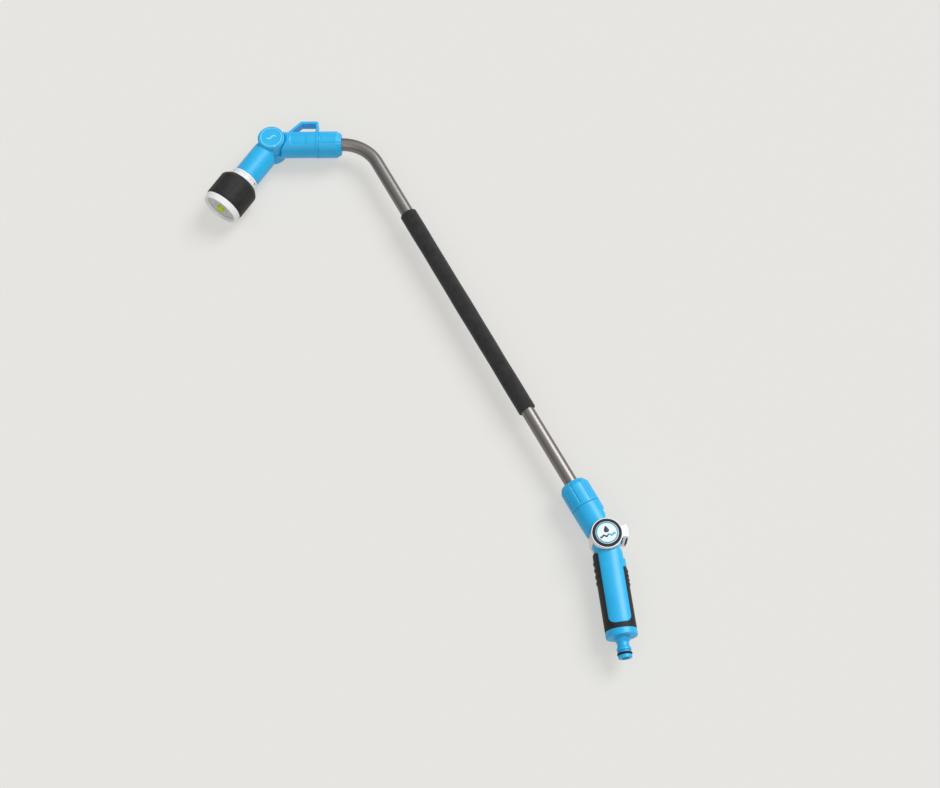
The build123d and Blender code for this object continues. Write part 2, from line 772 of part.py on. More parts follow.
# ------------------------------------------------------------------ export, with the origin under the middle of the wand
def build_parts():
    return {
        "lance_tube": lance_tube(),
        "foam_grip": foam_grip(),
        "lower_nut": lower_nut(),
        "lower_clamp_ring": tube_axis * clamp_ring(lower_nut_end),
        "lower_tube_o_ring": tube_axis * tube_seal(lower_nut_end),
        "handle_core": handle_core(),
        "valve_band": valve_band(),
        "grip_overmould": grip_overmould(),
        "inlet_spigot": inlet_spigot(),
        "spigot_o_ring": spigot_o_ring(),
        "inlet_seal": inlet_seal(),
        "inlet_filter": inlet_filter(),
        "valve_ball": valve_ball(),
        "valve_seat_front": valve_seat(-1),
        "valve_seat_rear": valve_seat(1),
        "seat_retainer": seat_retainer(),
        "valve_stem": valve_stem(),
        "stem_o_ring": stem_o_ring(),
        "lever_saddle": lever_saddle(),
        "lever_trim_ring": lever_trim_ring(),
        "lever_badge": lever_badge(),
        "thumb_pad": thumb_pad(),
        "lever_rear_screw": lever_rear_screw(),
        "lever_rear_cap": lever_rear_cap(),
        "head_body": head_body(),
        "upper_nut": upper_nut(),
        "upper_clamp_ring": body_axis * clamp_ring(upper_nut_end),
        "upper_tube_o_ring": body_axis * tube_seal(upper_nut_end),
        "neck": neck(),
        "pivot_spigot": pivot_spigot(),
        "pivot_o_rings": pivot_o_rings(),
        "pivot_washer": pivot_washer(),
        "pivot_screw": pivot_screw(),
        "pivot_cap": pivot_cap(),
        "pivot_rear_cap": pivot_rear_cap(),
        "index_collar": index_collar(),
        "port_spring": port_spring(),
        "port_seal": port_seal(),
        "detent_spring": detent_spring(),
        "detent_ball": detent_ball(),
        "dial_o_ring": dial_o_ring(),
        "dial_body": dial_body(),
        "flow_divider": flow_divider(),
        "centre_screw": centre_screw(),
        "dial_grip": dial_grip(),
        "dial_bezel": dial_bezel(),
        "face_plate": face_plate(),
        "centre_nozzle": centre_nozzle(),
    }


def floor_origin(parts):
    """Point under the middle of the whole wand's box, at its lowest height."""
    whole = Compound(list(parts.values())).bounding_box()
    middle = whole.center()
    return Vector(middle.X, middle.Y, whole.min.Z)


if __name__ == "__main__":
    parts = build_parts()
    origin = floor_origin(parts)
    os.makedirs("parts", exist_ok=True)
    for name, shape in parts.items():
        export_step(Pos(-origin.X, -origin.Y, -origin.Z) * shape, f"parts/{name}.step")
    print("valve axis at", -origin, "pivot at", pivot - origin)
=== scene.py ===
import json
from math import acos, ceil, cos, pi, radians, sin, tan

import bmesh
import bpy
import numpy as np
from mathutils import Matrix, Vector


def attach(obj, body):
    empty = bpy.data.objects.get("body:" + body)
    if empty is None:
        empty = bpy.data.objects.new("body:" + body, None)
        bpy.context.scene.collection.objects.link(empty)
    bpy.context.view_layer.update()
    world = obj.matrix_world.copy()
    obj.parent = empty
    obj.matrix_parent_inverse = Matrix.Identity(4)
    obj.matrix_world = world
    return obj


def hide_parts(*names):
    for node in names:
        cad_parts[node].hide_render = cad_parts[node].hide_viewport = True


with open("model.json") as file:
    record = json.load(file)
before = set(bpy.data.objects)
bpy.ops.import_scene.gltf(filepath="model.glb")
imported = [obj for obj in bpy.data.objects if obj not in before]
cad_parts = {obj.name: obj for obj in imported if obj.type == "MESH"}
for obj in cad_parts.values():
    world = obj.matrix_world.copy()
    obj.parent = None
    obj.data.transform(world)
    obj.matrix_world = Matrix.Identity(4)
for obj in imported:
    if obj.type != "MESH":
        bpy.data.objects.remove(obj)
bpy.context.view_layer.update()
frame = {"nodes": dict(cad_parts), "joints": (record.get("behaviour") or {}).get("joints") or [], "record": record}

# A watering wand that lies on a plain floor.
# Lengths below are millimetres, times mm where Blender needs metres.
mm = 0.001

# ------------------------------------------------------------------ places and headings, from the frame
joints = {joint["name"]: joint for joint in frame["joints"]}
mounts = {mount["name"]: mount for mount in frame["record"]["mounts"]}
valve = Vector(joints["lever_turn"]["pos_m"])
pivot = Vector(joints["neck_tilt"]["pos_m"])
neck_heading = Vector(joints["dial_spin"]["axis"])
handle_heading = Vector(mounts["hose_spigot"]["axis"])
tube_heading = Vector((1, 0, 0))
up = Vector((0, 0, 1))

# ------------------------------------------------------------------ driving dimensions
bend_x = 588.0
bend_radius = 50.0
tube_line = 0.7
neck_lead = 0.8
tube_radius = 8.0
tube_wall = 1.0
tube_start = 36.0
tube_end = 40.0
tube_origin = valve + Vector((0, tube_line, 0)) * mm
bend_corner = tube_origin + tube_heading * bend_x * mm
body_heading = (pivot - bend_corner).normalized()


# ------------------------------------------------------------------ camera
def add_camera():
    """Looks down on the wand as the photograph does, 67 degrees above the floor."""
    elevation = radians(67)
    distance = 1.989  # metres
    sensor_width = 36
    focal_share = 1700 / 940  # focal length over picture width
    target = valve + Vector((229.0, 49.33, 0)) * mm
    camera_side = Vector((-0.8771, 0.4802, 0)).normalized()
    away = camera_side * cos(elevation) + up * sin(elevation)
    data = bpy.data.cameras.new("camera")
    data.sensor_width = sensor_width
    data.lens = sensor_width * focal_share
    camera = bpy.data.objects.new("camera", data)
    camera.location = target + away * distance
    camera.rotation_euler = (-away).to_track_quat("-Z", "Y").to_euler()
    bpy.context.scene.collection.objects.link(camera)
    bpy.context.scene.camera = camera
    return target


target = add_camera()


# ------------------------------------------------------------------ material helpers
def new_material(name):
    material = bpy.data.materials.new(name)
    material.use_nodes = True
    tree = material.node_tree
    shader = tree.nodes["Principled BSDF"]
    return material, tree, shader


def noise(tree, vector, scale, detail=2.0, roughness=0.5):
    """Noise texture whose scale is in features per metre."""
    node = tree.nodes.new("ShaderNodeTexNoise")
    node.inputs["Scale"].default_value = scale
    node.inputs["Detail"].default_value = detail
    node.inputs["Roughness"].default_value = roughness
    tree.links.new(vector, node.inputs["Vector"])
    return node.outputs["Fac"]


def remap(tree, value, low, high, from_low=0.0, from_high=1.0):
    node = tree.nodes.new("ShaderNodeMapRange")
    node.inputs["From Min"].default_value = from_low
    node.inputs["From Max"].default_value = from_high
    node.inputs["To Min"].default_value = low
    node.inputs["To Max"].default_value = high
    tree.links.new(value, node.inputs["Value"])
    return node.outputs["Result"]


def mix_colours(tree, factor, first, second):
    node = tree.nodes.new("ShaderNodeMix")
    node.data_type = "RGBA"
    tree.links.new(factor, node.inputs["Factor"])
    for socket, colour in ((node.inputs[6], first), (node.inputs[7], second)):
        if isinstance(colour, tuple):
            socket.default_value = (*colour, 1)
        else:
            tree.links.new(colour, socket)
    return node.outputs[2]


def bump(tree, shader, height, strength, depth, before=None):
    node = tree.nodes.new("ShaderNodeBump")
    node.inputs["Strength"].default_value = strength
    node.inputs["Distance"].default_value = depth
    tree.links.new(height, node.inputs["Height"])
    if before is not None:
        tree.links.new(before, node.inputs["Normal"])
    tree.links.new(node.outputs["Normal"], shader.inputs["Normal"])
    return node.outputs["Normal"]


def position(tree):
    return tree.nodes.new("ShaderNodeTexCoord").outputs["Object"]


def stretched(tree, vector, scale):
    node = tree.nodes.new("ShaderNodeMapping")
    node.inputs["Scale"].default_value = scale
    tree.links.new(vector, node.inputs["Vector"])
    return node.outputs["Vector"]


def moulded_plastic(name, colour, dark, roughness, coat=0.0, grain=0.3):
    """Injection-moulded plastic: slight flow shading, fine grain, and edges rubbed paler."""
    material, tree, shader = new_material(name)
    place = position(tree)
    flow = noise(tree, place, 38, 3)
    body = mix_colours(tree, remap(tree, flow, 0, 1, 0.3, 0.7), dark, colour)
    edge = tree.nodes.new("ShaderNodeNewGeometry").outputs["Pointiness"]
    rub = remap(tree, edge, 0, 0.35, 0.53, 0.62)
    pale = tuple(min(1.0, channel * 1.25 + 0.06) for channel in colour)
    tree.links.new(mix_colours(tree, rub, body, pale), shader.inputs["Base Color"])
    fine = noise(tree, place, 900, 3)
    tree.links.new(remap(tree, fine, roughness - 0.05, roughness + 0.07), shader.inputs["Roughness"])
    shader.inputs["Coat Weight"].default_value = coat
    shader.inputs["Coat Roughness"].default_value = 0.12
    shader.inputs["Specular IOR Level"].default_value = 0.5
    bump(tree, shader, fine, grain, 0.00004)
    return material


def grip_rubber(name, colour, dust):
    """Matt rubber with a fine pebble grain and a little dust in patches."""
    material, tree, shader = new_material(name)
    place = position(tree)
    pebble = tree.nodes.new("ShaderNodeTexVoronoi")
    pebble.inputs["Scale"].default_value = 1500
    tree.links.new(place, pebble.inputs["Vector"])
    cloud = noise(tree, place, 60, 4)
    dusting = remap(tree, cloud, 0, 1, 0.35, 0.8)
    tree.links.new(mix_colours(tree, dusting, colour, dust), shader.inputs["Base Color"])
    tree.links.new(remap(tree, cloud, 0.52, 0.72), shader.inputs["Roughness"])
    shader.inputs["Specular IOR Level"].default_value = 0.32
    shader.inputs["Sheen Weight"].default_value = 0.03
    bump(tree, shader, pebble.outputs["Distance"], 0.35, 0.00008)
    return material


def cell_foam(name, colour, light):
    """Closed-cell foam: open pores at the skin, soft and matt."""
    material, tree, shader = new_material(name)
    place = position(tree)
    cells = tree.nodes.new("ShaderNodeTexVoronoi")
    cells.inputs["Scale"].default_value = 1300
    tree.links.new(place, cells.inputs["Vector"])
    coarse = noise(tree, place, 120, 3)
    pores = remap(tree, cells.outputs["Distance"], 1, 0, 0.0, 0.55)
    shade = mix_colours(tree, remap(tree, coarse, 0, 1, 0.3, 0.75), colour, light)
    tree.links.new(shade, shader.inputs["Base Color"])
    shader.inputs["Roughness"].default_value = 0.85
    shader.inputs["Specular IOR Level"].default_value = 0.25
    shader.inputs["Sheen Weight"].default_value = 0.15
    shader.inputs["Sheen Roughness"].default_value = 0.6
    first = bump(tree, shader, pores, 0.5, 0.00025)
    bump(tree, shader, coarse, 0.3, 0.0006, before=first)
    return material


def drawn_tube(name):
    """Drawn aluminium: long fine streaks that follow the tube's length, through the UV map."""
    material, tree, shader = new_material(name)
    place = tree.nodes.new("ShaderNodeTexCoord").outputs["UV"]
    streaks = noise(tree, stretched(tree, place, (260, 1.2, 1)), 1, 4, 0.6)
    bands = noise(tree, stretched(tree, place, (26, 0.5, 1)), 1, 3)
    marks = noise(tree, stretched(tree, place, (7, 9, 1)), 1, 5, 0.65)
    base = mix_colours(tree, remap(tree, bands, 0, 1, 0.3, 0.7), (0.22, 0.205, 0.195), (0.295, 0.28, 0.268))
    base = mix_colours(tree, remap(tree, marks, 0, 0.5, 0.55, 0.8), base, (0.17, 0.15, 0.14))
    tree.links.new(base, shader.inputs["Base Color"])
    shader.inputs["Metallic"].default_value = 1.0
    tree.links.new(remap(tree, streaks, 0.33, 0.50), shader.inputs["Roughness"])
    bump(tree, shader, streaks, 0.18, 0.00003)
    return material


def steel(name):
    material, tree, shader = new_material(name)
    place = position(tree)
    lines = noise(tree, stretched(tree, place, (1, 1, 12)), 300, 3)
    shader.inputs["Base Color"].default_value = (0.6, 0.6, 0.61, 1)
    shader.inputs["Metallic"].default_value = 1.0
    tree.links.new(remap(tree, lines, 0.2, 0.42), shader.inputs["Roughness"])
    bump(tree, shader, lines, 0.1, 0.00002)
    return material


blue = moulded_plastic("blue_moulding", (0.014, 0.430, 0.780), (0.011, 0.385, 0.735), 0.38)
white = moulded_plastic("white_moulding", (0.82, 0.82, 0.825), (0.79, 0.79, 0.80), 0.30, grain=0.2)
badge_white = moulded_plastic("badge_face", (0.76, 0.86, 0.89), (0.73, 0.83, 0.87), 0.28, grain=0.1)
grey = moulded_plastic("grey_moulding", (0.50, 0.505, 0.50), (0.44, 0.445, 0.44), 0.36)
lime = moulded_plastic("lime_moulding", (0.56, 0.72, 0.035), (0.50, 0.65, 0.025), 0.30)
acetal = moulded_plastic("acetal", (0.80, 0.78, 0.72), (0.76, 0.74, 0.68), 0.40)
teal = moulded_plastic("teal_print", (0.045, 0.37, 0.53), (0.04, 0.34, 0.50), 0.35, grain=0.1)
# Pale blue for the printed wave on the pivot cap, also laid on the cap ring and pip as a painted highlight.
pale = moulded_plastic("pale_print_and_painted_highlight", (0.22, 0.68, 0.93), (0.20, 0.65, 0.91), 0.35, grain=0.1)
ink = moulded_plastic("dark_print", (0.03, 0.035, 0.05), (0.025, 0.03, 0.04), 0.40, grain=0.1)
rubber = grip_rubber("black_rubber", (0.010, 0.010, 0.010), (0.021, 0.021, 0.021))
seal = grip_rubber("seal_rubber", (0.008, 0.008, 0.008), (0.014, 0.014, 0.014))
foam = cell_foam("cell_foam", (0.010, 0.010, 0.011), (0.022, 0.022, 0.022))
tube_metal = drawn_tube("drawn_aluminium")
stainless = steel("stainless_steel")

slot_materials = {
    "blue_plastic": blue,
    "white_plastic": white,
    "grey_plastic": grey,
    "lime_plastic": lime,
    "inner_plastic": acetal,
    "badge_face": badge_white,
    "black_rubber": rubber,
    "seal_rubber": seal,
    "foam": foam,
    "tube_metal": tube_metal,
    "steel": stainless,
}
slot_of = {part["node"]: part["material_slot"] for part in frame["record"]["subparts"]}
body_of = {node: body for body, nodes in frame["record"]["behaviour"]["bodies"].items() for node in nodes}
for node, shape in frame["nodes"].items():
    shape.data.materials.clear()
    shape.data.materials.append(slot_materials[slot_of[node]])


# ------------------------------------------------------------------ mesh helpers
def axis_frame(origin, direction):
    """Local Z along a direction, local X up, so that heights run along the wand's axes."""
    z_axis = direction.normalized()
    y_axis = z_axis.cross(up)
    matrix = Matrix((up, y_axis, z_axis)).transposed().to_4x4()
    matrix.translation = origin
    return matrix


tube_axis = axis_frame(tube_origin, tube_heading)
handle_axis = axis_frame(valve, handle_heading)
body_axis = axis_frame(pivot, -body_heading)
neck_axis = axis_frame(pivot + neck_heading * neck_lead * mm, neck_heading)
valve_up = Matrix.Translation(valve)
pivot_up = Matrix.Translation(pivot)


def add_piece(name, mesh, material, stands_for=None, body=None, slot=None):
    """Links a mesh, shades it smooth, and rides it on the body of the node that it stands for."""
    mesh.validate()
    mesh.polygons.foreach_set("use_smooth", [True] * len(mesh.polygons))
    mesh.materials.clear()
    mesh.materials.append(material)
    piece = bpy.data.objects.new(name, mesh)
    bpy.context.scene.collection.objects.link(piece)
    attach(piece, body or body_of[stands_for])
    if stands_for and not slot:
        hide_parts(stands_for)
    return piece


def rounded(corners, steps=5):
    """Closed outline from (radius, height, fillet) corners, with each fillet as a short arc."""
    points = []
    count = len(corners)
    for i, corner in enumerate(corners):
        here = np.array(corner[:2], float)
        fillet = corner[2] if len(corner) > 2 else 0.12
        before = np.array(corners[i - 1][:2], float) - here
        after = np.array(corners[(i + 1) % count][:2], float) - here
        len_before, len_after = np.linalg.norm(before), np.linalg.norm(after)
        before, after = before / len_before, after / len_after
        half = acos(np.clip(before @ after, -1, 1)) / 2
        if fillet == 0 or here[0] < 1e-6 or half > pi / 2 - 0.02:
            points.append(tuple(here))
            continue
        reach = min(fillet / tan(half), len_before * 0.49, len_after * 0.49)
        radius = reach * tan(half)
        centre = here + (before + after) / np.linalg.norm(before + after) * radius / sin(half)
        start, end = here + before * reach - centre, here + after * reach - centre
        sweep = acos(np.clip(start @ end / radius ** 2, -1, 1))
        for k in range(steps + 1):
            t = k / steps
            arm = (sin((1 - t) * sweep) * start + sin(t * sweep) * end) / sin(sweep)
            points.append(tuple(centre + arm))
    return points


def divided(outline, longest, closed=True):
    """Adds points so that no step of the outline is longer than a limit."""
    points = []
    count = len(outline)
    for i in range(count if closed else count - 1):
        start, end = np.array(outline[i]), np.array(outline[(i + 1) % count])
        parts = max(1, ceil(np.linalg.norm(end - start) / longest))
        points += [tuple(start + (end - start) * k / parts) for k in range(parts)]
    return points if closed else points + [outline[-1]]


def turned(matrix, outline, segments=160, relief=None):
    """Mesh of a closed outline turned about the matrix's Z. relief gives each point's change of radius."""
    ring = np.array(outline, float)
    angles = np.arange(segments) * 2 * pi / segments
    angle, radius = np.meshgrid(angles, ring[:, 0], indexing="ij")
    height = np.broadcast_to(ring[:, 1], radius.shape)
    if relief is not None:
        radius = radius + np.where(radius > 1e-6, relief(angle, radius, height), 0)
    points = np.stack([radius * np.cos(angle), radius * np.sin(angle), height], -1).reshape(-1, 3) * mm
    across = len(ring)
    faces = []
    for i in range(segments):
        left, right = i * across, (i + 1) % segments * across
        for k in range(across):
            step = (k + 1) % across
            if ring[k, 0] < 1e-6 and ring[step, 0] < 1e-6:
                continue
            faces.append((left + k, left + step, right + step, right + k))
    mesh = bpy.data.meshes.new("turned")
    mesh.from_pydata([tuple(point) for point in points], [], faces)
    tidy = bmesh.new()
    tidy.from_mesh(mesh)
    bmesh.ops.remove_doubles(tidy, verts=tidy.verts, dist=1e-7)
    bmesh.ops.recalc_face_normals(tidy, faces=tidy.faces)
    tidy.to_mesh(mesh)
    tidy.free()
    mesh.transform(matrix)
    return mesh


def evaluated(source_mesh, *modifiers):
    """A mesh after (type, settings) modifiers."""
    worker = bpy.data.objects.new("worker", source_mesh)
    bpy.context.scene.collection.objects.link(worker)
    for kind, settings in modifiers:
        modifier = worker.modifiers.new(kind.lower(), kind)
        for key, value in settings.items():
            setattr(modifier, key, value)
    bpy.context.view_layer.update()
    result = bpy.data.meshes.new_from_object(worker.evaluated_get(bpy.context.evaluated_depsgraph_get()))
    bpy.data.objects.remove(worker)
    return result


def softened(node, voxel, passes, factor=0.5):
    """Copy of a CAD node as one fine skin with moulded, rounded edges."""
    return evaluated(
        frame["nodes"][node].data.copy(),
        ("REMESH", {"mode": "VOXEL", "voxel_size": voxel * mm, "adaptivity": 0.0}),
        ("SMOOTH", {"factor": factor, "iterations": passes}),
    )


def window(value, low, high, blend):
    """1 between two limits, falling smoothly to 0 outside them."""
    rise = np.clip((value - low) / blend, 0, 1)
    fall = np.clip((high - value) / blend, 0, 1)
    return (rise * rise * (3 - 2 * rise)) * (fall * fall * (3 - 2 * fall))


def grooves(count, width, depth, low, high, blend, phase=0.0):
    """Relief of lengthwise grooves, spaced evenly round a turned piece."""

    def relief(angle, radius, height):
        pitch = 2 * pi / count
        offset = (angle - phase + pitch / 2) % pitch - pitch / 2
        across = np.clip(1 - np.abs(offset * radius) / (width / 2), 0, 1)
        return -depth * across * across * (3 - 2 * across) * window(height, low, high, blend)

    return relief


def outer_only(relief, least_radius):
    """Keeps a relief to the outside skin of a hollow piece."""
    return lambda angle, radius, height: np.where(radius > least_radius, relief(angle, radius, height), 0)


# ------------------------------------------------------------------ tube
def tube_path():
    """Points and directions along the tube's middle line: straight, bend, straight."""
    turn = acos(tube_heading.dot(body_heading))
    tangent = bend_radius * tan(turn / 2)
    straight_start = tube_origin + tube_heading * tube_start * mm
    bend_start = bend_corner - tube_heading * tangent * mm
    bend_end = bend_corner + body_heading * tangent * mm
    straight_end = pivot - body_heading * tube_end * mm
    side = up.cross(tube_heading)
    centre = bend_start + side * bend_radius * mm
    rows = [(straight_start.lerp(bend_start, i / 40), tube_heading) for i in range(40)]
    for i in range(61):
        angle = turn * i / 60
        direction = tube_heading * cos(angle) + side * sin(angle)
        rows.append((centre + (tube_heading * sin(angle) - side * cos(angle)) * bend_radius * mm, direction))
    rows += [(bend_end.lerp(straight_end, i / 8), body_heading) for i in range(1, 9)]
    return rows


def tube_mesh(segments=96):
    """Outer and inner skins of the tube, with a UV map of turns round and metres along."""
    rows = tube_path()
    loops = []
    travelled = 0.0
    for radius, order in ((tube_radius, rows), (tube_radius - tube_wall, rows[::-1])):
        last = None
        for place, direction in order:
            travelled += (place - last).length if last is not None else 0.0
            last = place
            loops.append((place, direction, radius, travelled))
    points = []
    for place, direction, radius, _ in loops:
        side = direction.cross(up)
        for k in range(segments):
            angle = 2 * pi * k / segments
            points.append(place + (up * cos(angle) + side * sin(angle)) * radius * mm)
    faces, corners = [], []
    count = len(loops)
    for i in range(count):
        after = (i + 1) % count
        for k in range(segments):
            step = (k + 1) % segments
            here, beyond = i * segments, after * segments
            faces.append((here + k, here + step, beyond + step, beyond + k))
            along, along_after = loops[i][3], loops[after][3] if after else loops[i][3] + tube_wall * mm
            corners += [(k / segments, along), ((k + 1) / segments, along)]
            corners += [((k + 1) / segments, along_after), (k / segments, along_after)]
    mesh = bpy.data.meshes.new("lance_tube")
    mesh.from_pydata(points, [], faces)
    layer = mesh.uv_layers.new(name="along")
    layer.data.foreach_set("uv", np.array(corners, np.float32).ravel())
    return mesh


add_piece("bent_tube", tube_mesh(), tube_metal, "lance_tube")


# ------------------------------------------------------------------ foam sleeve
foam_start, foam_end, foam_radius = 178.5, 475.5, 10.5


def foam_relief(angle, radius, height):
    """Slight squeeze and swell of a soft sleeve."""
    wave = 0.10 * np.sin(height / 23.0 + 1.3 * np.cos(angle)) + 0.07 * np.sin(height / 9.1 + 2 * angle)
    return np.where(radius > tube_radius + 0.5, wave, 0)


foam_outline = divided(
    rounded([
        (tube_radius + 0.02, foam_start, 0.2),
        (foam_radius, foam_start, 1.4),
        (foam_radius, foam_end, 1.4),
        (tube_radius + 0.02, foam_end, 0.2),
    ]),
    1.5,
)
sleeve = add_piece("foam_sleeve", turned(tube_axis, foam_outline, 128, foam_relief), foam, "foam_grip")


# ------------------------------------------------------------------ clamp nuts
def clamp_nut(matrix, seam, end, radius, groove_depth, groove_width, dent=0.0):
    """Ribbed nut with a chamfered mouth, and an index dent on top beside its seam."""
    outline = rounded([
        (13.7, seam, 0.2),
        (radius, seam, 0.6),
        (radius, end - 6.0, 1.6),
        (radius - 3.6, end, 1.0),
        (8.4, end, 0.3),
        (8.4, end - 8.8, 0.2),
        (13.7, end - 15.8, 0.2),
    ])
    ribs = grooves(8, groove_width, groove_depth, seam + 2.2, end + 9, 1.0, radians(22.5))

    def relief(angle, radius_here, height):
        across = (angle + pi) % (2 * pi) - pi
        distance = np.hypot(across * radius_here, height - seam - 2.8)
        hollow = -dent * np.clip(1.6 - distance / 0.9, 0, 1)
        return np.where(radius_here > radius - 3, ribs(angle, radius_here, height) + hollow, 0)

    return turned(matrix, divided(outline, 0.6), 480, relief)


add_piece("handle_nut", clamp_nut(tube_axis, 43.3, 74.5, 17.5, 0.9, 2.4), blue, "lower_nut")
add_piece("head_nut", clamp_nut(body_axis, 58.0, 86.4, 16.5, 0.45, 2.2, dent=0.6), blue, "upper_nut")


# ------------------------------------------------------------------ hose spigot
flange_start, flange_end = 107.8, 115.7
spigot_outline = rounded([
    (4.6, 96.0, 0.2),
    (10.4, 96.0, 0.2),
    (10.4, flange_start, 0.0),
    (18.0, flange_start, 0.8),
    (18.0, flange_end, 1.6),
    (9.5, flange_end, 0.9),
    (9.3, flange_end + 2.6, 1.2),
    (6.8, flange_end + 5.8, 1.6),
    (6.8, flange_end + 10.6, 1.4),
    (8.2, flange_end + 12.1, 0.5),
    (8.2, flange_end + 14.7, 0.5),
    (6.9, flange_end + 15.2, 0.1),
    (6.9, flange_end + 15.8, 0.1),
    (7.9, flange_end + 15.8, 0.25),
    (7.9, flange_end + 17.1, 0.25),
    (5.78, flange_end + 17.1, 0.1),
    (5.78, 135.6, 0.1),
    (7.9, 135.6, 0.25),
    (7.9, 138.6, 0.3),
    (7.3, 139.2, 0.3),
    (4.6, 139.2, 0.5),
])
add_piece("hose_spigot", turned(handle_axis, divided(spigot_outline, 0.8), 240), blue, "inlet_spigot")


def o_ring(matrix, mean_radius, section, height):
    circle = [(mean_radius + section * cos(a), height + section * sin(a)) for a in np.arange(24) * pi / 12]
    return turned(matrix, circle, 160)


add_piece("spigot_seal", o_ring(handle_axis, 7.2, 1.4, 134.2), seal, "spigot_o_ring")

# ------------------------------------------------------------------ lever badge
badge_top = 21.7
trim_outline = rounded([(13.25, 18.85, 0.2), (16.4, 18.85, 0.2), (16.4, 21.2, 0.7), (13.25, 21.2, 0.4)])
badge_outline = rounded([(0, 18.85), (13.19, 18.85, 0.2), (13.19, 21.4, 0.5), (0, badge_top)])
badge_ring_outline = rounded([
    (11.1, 21.0, 0.1),
    (12.6, 21.0, 0.1),
    (12.6, badge_top - 0.05, 0.08),
    (11.1, badge_top + 0.05, 0.08),
])
add_piece("badge_trim", turned(valve_up, divided(trim_outline, 0.6)), rubber, "lever_trim_ring")
add_piece("badge_disc", turned(valve_up, divided(badge_outline, 0.8)), badge_white, "lever_badge")
add_piece("badge_ring", turned(valve_up, badge_ring_outline), teal, body="lever", slot="badge_face")


def inlay(matrix, outline, low, high, wrap=None):
    """Thin printed shape from an outline, laid flat or wrapped on a cylinder of radius wrap."""
    shape = bmesh.new()
    bottom = [shape.verts.new((x, y, low)) for x, y in outline]
    top = [shape.verts.new((x, y, high)) for x, y in outline]
    shape.faces.new(bottom[::-1])
    shape.faces.new(top)
    for i in range(len(outline)):
        after = (i + 1) % len(outline)
        shape.faces.new((bottom[i], bottom[after], top[after], top[i]))
    bmesh.ops.triangulate(shape, faces=[face for face in shape.faces if len(face.verts) > 4])
    for vert in shape.verts:
        if wrap:
            turn, reach = vert.co.x / wrap, wrap + vert.co.z
            vert.co = Vector((reach * cos(turn), reach * sin(turn), vert.co.y))
        vert.co *= mm
    bmesh.ops.recalc_face_normals(shape, faces=shape.faces)
    mesh = bpy.data.meshes.new("inlay")
    shape.to_mesh(mesh)
    shape.free()
    mesh.transform(matrix)
    return mesh


def drop_outline(width, height, x=0.0, y=0.0):
    """A water drop with its point up."""
    points = []
    for i in range(48):
        t = 2 * pi * i / 48
        points.append((x + width / 2 * sin(t) * sin(t / 2) ** 1.6 * 1.3, y + height / 2 * cos(t)))
    return points


def wave_outline(start, end, swing, length, thickness, y=0.0):
    """A wavy ribbon along local X."""
    steps = np.linspace(start, end, 40)
    middle = y + swing * np.sin(steps * 2 * pi / length)
    upper = [(x, m + thickness / 2) for x, m in zip(steps, middle)]
    lower = [(x, m - thickness / 2) for x, m in zip(steps, middle)]
    return lower + upper[::-1]


def turned_flat(origin, angle):
    """Local Y along a heading in degrees, local Z up."""
    return Matrix.Translation(origin) @ Matrix.Rotation(radians(angle - 90), 4, "Z")


badge_face = turned_flat(valve, -13.7)
badge_prints = {
    "badge_drop": (drop_outline(6.4, 8.4, y=4.3), ink),
    "badge_wave_left": (wave_outline(-9.0, 0.1, 0.9, 6.2, 2.1, y=-3.3), ink),
    "badge_wave_right": (wave_outline(0.1, 9.0, 0.9, 6.2, 2.1, y=-3.3), teal),
}
for name, (outline, material) in badge_prints.items():
    print_mesh = inlay(badge_face, outline, badge_top - 0.25, badge_top + 0.07)
    add_piece(name, print_mesh, material, body="lever", slot="badge_face")

rear_cap_outline = rounded([(0, -19.95), (12.0, -19.95, 0.1), (12.0, -21.4, 0.9), (0, -21.5)])
add_piece("lever_back_cap", turned(valve_up, divided(rear_cap_outline, 0.8)), white, "lever_rear_cap")

# ------------------------------------------------------------------ head pivot caps
cap_top = 18.9
cap_face_height = cap_top - 0.2
pivot_cap_outline = rounded([
    (10.4, 15.6, 0.2),
    (11.95, 15.6, 0.2),
    (11.95, 17.5, 0.05),
    (15.5, 17.5, 0.05),
    (15.5, cap_top, 0.8),
    (12.4, cap_top, 0.1),
    (12.2, cap_face_height, 0.1),
    (0, cap_face_height),
    (0, 17.6),
    (10.4, 17.6, 0.1),
])
cap_ring_outline = rounded([
    (12.3, cap_face_height, 0.05),
    (13.2, cap_face_height, 0.05),
    (13.2, cap_top + 0.5, 0.2),
    (12.3, cap_top + 0.5, 0.2),
])
add_piece("head_cap", turned(pivot_up, divided(pivot_cap_outline, 0.8)), blue, "pivot_cap")
# The cap ring's pale colour is a painted highlight on the raised ring.
add_piece("cap_ring", turned(pivot_up, cap_ring_outline), pale, body="neck", slot="blue_plastic")
cap_face = turned_flat(pivot, -13)
cap_wave = inlay(cap_face, wave_outline(-6.0, 6.0, 1.3, 11.2, 1.9), cap_face_height - 0.2, cap_top + 0.15)
add_piece("cap_wave", cap_wave, pale, body="neck", slot="blue_plastic")
# The pip's pale colour is a painted highlight.
pip_outline = rounded([(0, 18.6), (1.15, 18.6, 0.1), (1.15, cap_top + 0.7, 0.4), (0, cap_top + 0.7)])
pip_place = pivot_up @ Matrix.Translation(Vector((cos(radians(171)), sin(radians(171)), 0)) * 14.2 * mm)
add_piece("cap_pip", turned(pip_place, pip_outline, 32), pale, body="neck", slot="blue_plastic")

rear_outline = rounded([
    (0, -17.5), (16.3, -17.5, 0.05), (16.3, -19.6, 1.0), (11.5, -19.6, 0.2), (11.2, -19.2, 0.2), (0, -19.2)
])
add_piece("head_back_cap", turned(pivot_up, divided(rear_outline, 0.8)), blue, "pivot_rear_cap")

